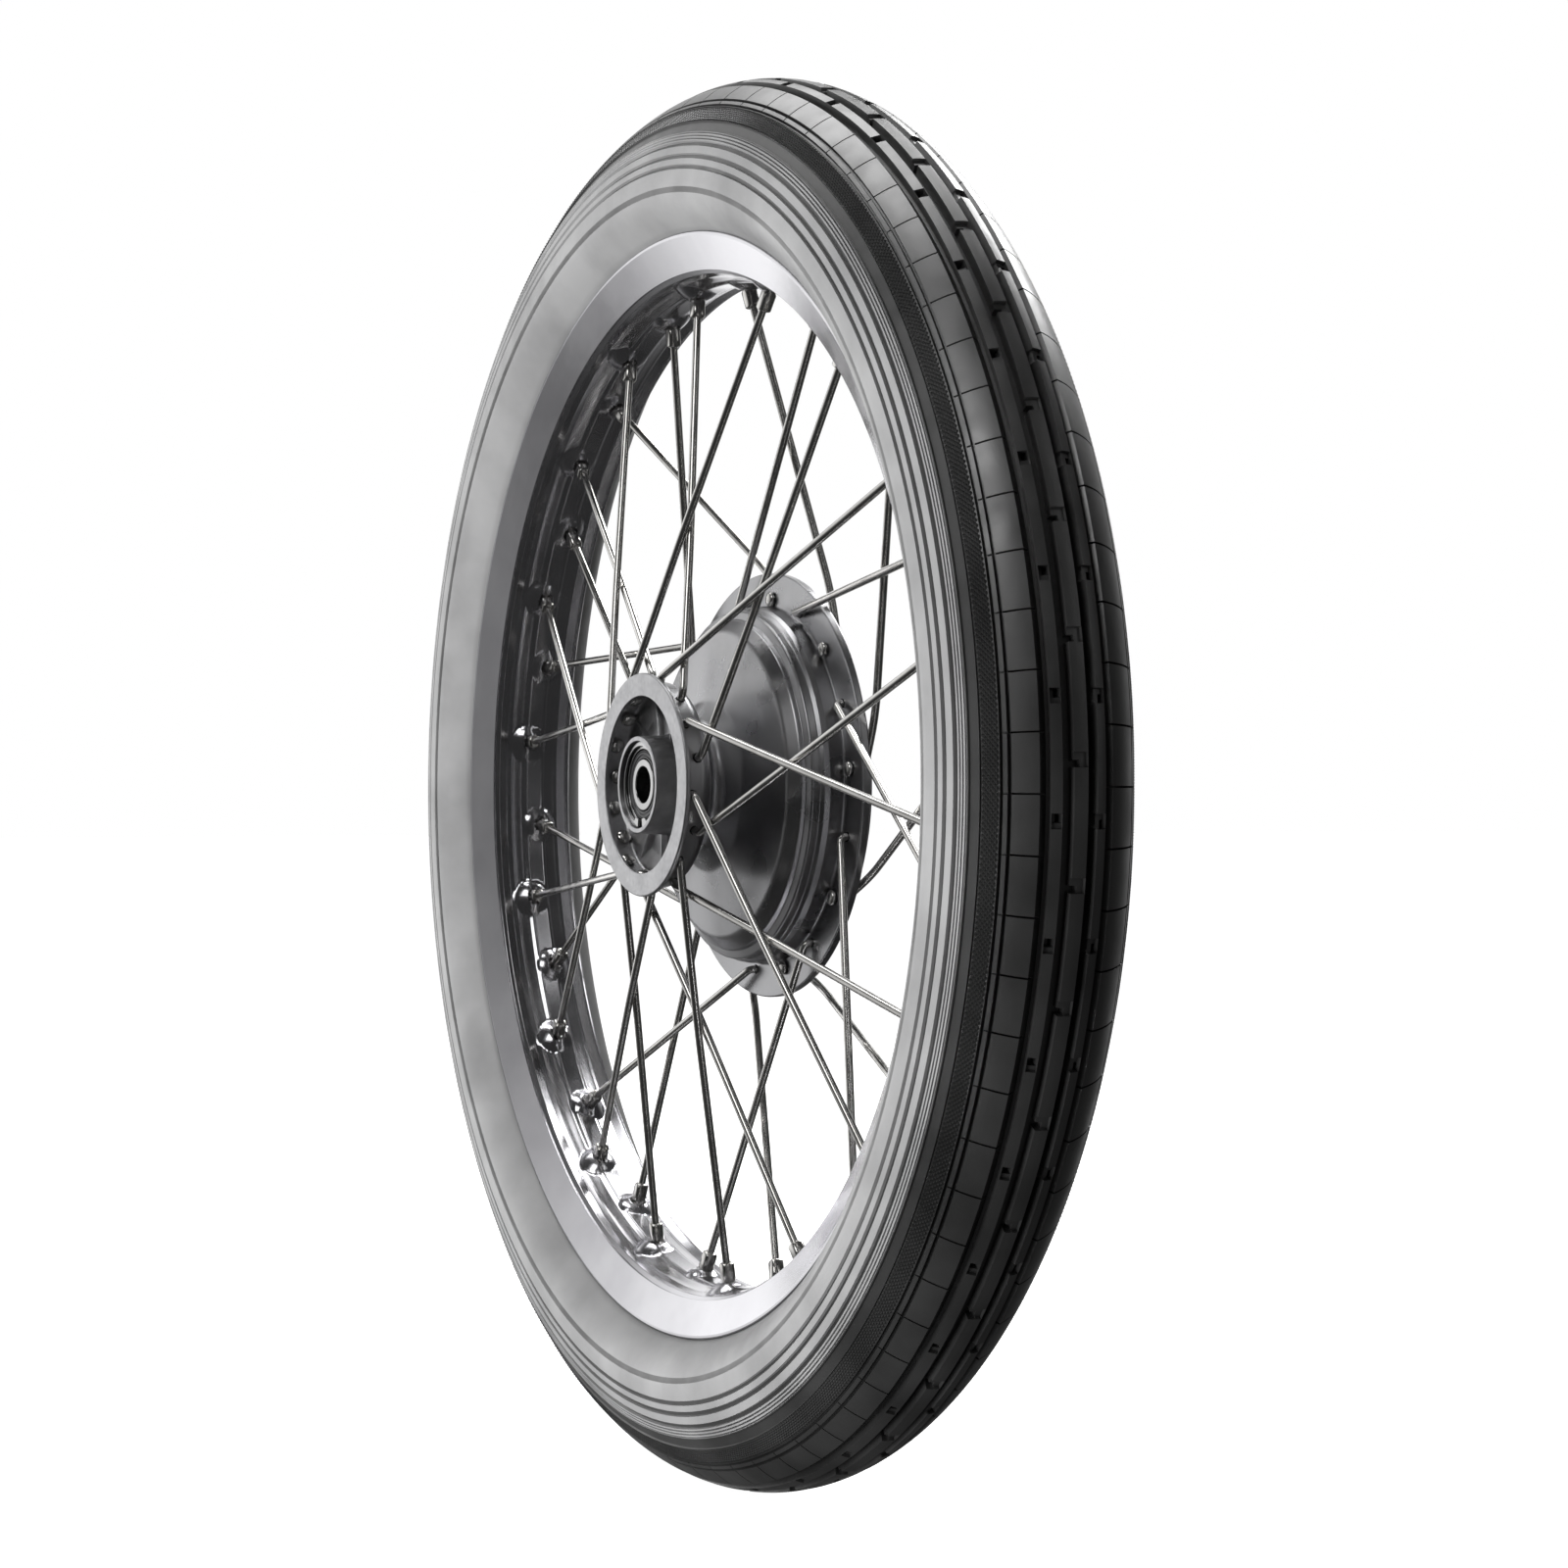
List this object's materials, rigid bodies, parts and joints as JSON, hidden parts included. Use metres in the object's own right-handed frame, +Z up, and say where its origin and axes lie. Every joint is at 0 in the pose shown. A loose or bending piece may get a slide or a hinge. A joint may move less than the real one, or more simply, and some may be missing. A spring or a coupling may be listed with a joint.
{
  "type": "spoked motorcycle wheel",
  "caption": "Wire-spoked motorcycle front wheel with a ribbed road tyre, polished alloy rim, crossed spokes and a cast drum-brake hub on sealed ball bearings.",
  "frame": {"origin": "centre of the wheel, on the axle line and in the middle plane of the tyre", "axes": "+Y along the axle towards the brake drum, +Z up, +X to the side, all three through the wheel's centre"},
  "size_m": [0.6518, 0.084, 0.6518],
  "materials": {
    "tyre_rubber": "satin black rubber with moulded ribs and blocks",
    "tube_rubber": "matt black",
    "rim_aluminium": "polished",
    "hub_aluminium": "cast, satin, with polished faces",
    "drum_iron": "turned",
    "valve_brass": "plain",
    "bright_steel": "plated",
    "spoke_steel": "bright, drawn",
    "bearing_steel": "ground",
    "seal_rubber": "satin black",
    "cap_plastic": "moulded"
  },
  "bodies": {
    "axle_fixed": {"bearing_left_inner_ring": "bearing_steel", "bearing_right_inner_ring": "bearing_steel", "bearing_spacer_tube": "bearing_steel"},
    "wheel": {"tyre": "tyre_rubber", "inner_tube": "tube_rubber", "rim_tape": "tube_rubber", "rim": "rim_aluminium", "hub_shell": "hub_aluminium", "brake_drum_liner": "drum_iron", "valve_stem": "valve_brass", "valve_rim_nut": "bright_steel", "valve_core": "valve_brass", "valve_cap": "cap_plastic", "bearing_left_outer_ring": "bearing_steel", "bearing_left_outboard_seal": "seal_rubber", "bearing_left_inboard_seal": "seal_rubber", "bearing_right_outer_ring": "bearing_steel", "bearing_right_outboard_seal": "seal_rubber", "bearing_right_inboard_seal": "seal_rubber", "bearing_circlip": "bearing_steel", "spoke_drum_01": "spoke_steel", "spoke_drum_02": "spoke_steel", "spoke_drum_03": "spoke_steel", "spoke_drum_04": "spoke_steel", "spoke_drum_05": "spoke_steel", "spoke_drum_06": "spoke_steel", "spoke_drum_07": "spoke_steel", "spoke_drum_08": "spoke_steel", "spoke_drum_09": "spoke_steel", "spoke_drum_10": "spoke_steel", "spoke_drum_11": "spoke_steel", "spoke_drum_12": "spoke_steel", "spoke_drum_13": "spoke_steel", "spoke_drum_14": "spoke_steel", "spoke_drum_15": "spoke_steel", "spoke_drum_16": "spoke_steel", "spoke_drum_17": "spoke_steel", "spoke_drum_18": "spoke_steel", "spoke_cup_01": "spoke_steel", "spoke_cup_02": "spoke_steel", "spoke_cup_03": "spoke_steel", "spoke_cup_04": "spoke_steel", "spoke_cup_05": "spoke_steel", "spoke_cup_06": "spoke_steel", "spoke_cup_07": "spoke_steel", "spoke_cup_08": "spoke_steel", "spoke_cup_09": "spoke_steel", "spoke_cup_10": "spoke_steel", "spoke_cup_11": "spoke_steel", "spoke_cup_12": "spoke_steel", "spoke_cup_13": "spoke_steel", "spoke_cup_14": "spoke_steel", "spoke_cup_15": "spoke_steel", "spoke_cup_16": "spoke_steel", "spoke_cup_17": "spoke_steel", "spoke_cup_18": "spoke_steel"},
    "left_ball_cage": {"bearing_left_ball_cage": "bearing_steel"},
    "right_ball_cage": {"bearing_right_ball_cage": "bearing_steel"}
  },
  "joints": [
    {"name": "wheel_spin", "type": "hinge", "parent": "axle_fixed", "child": "wheel", "pos_m": [0, 0, 0], "axis": [0, 1, 0], "continuous": true},
    {"name": "left_cage_spin", "type": "hinge", "parent": "axle_fixed", "child": "left_ball_cage", "pos_m": [0, 0, 0], "axis": [0, 1, 0], "continuous": true},
    {"name": "right_cage_spin", "type": "hinge", "parent": "axle_fixed", "child": "right_ball_cage", "pos_m": [0, 0, 0], "axis": [0, 1, 0], "continuous": true}
  ],
  "couplings": [
    {"joint": "left_cage_spin", "follows": "wheel_spin", "ratio": 0.6184},
    {"joint": "right_cage_spin", "follows": "wheel_spin", "ratio": 0.6184}
  ]
}
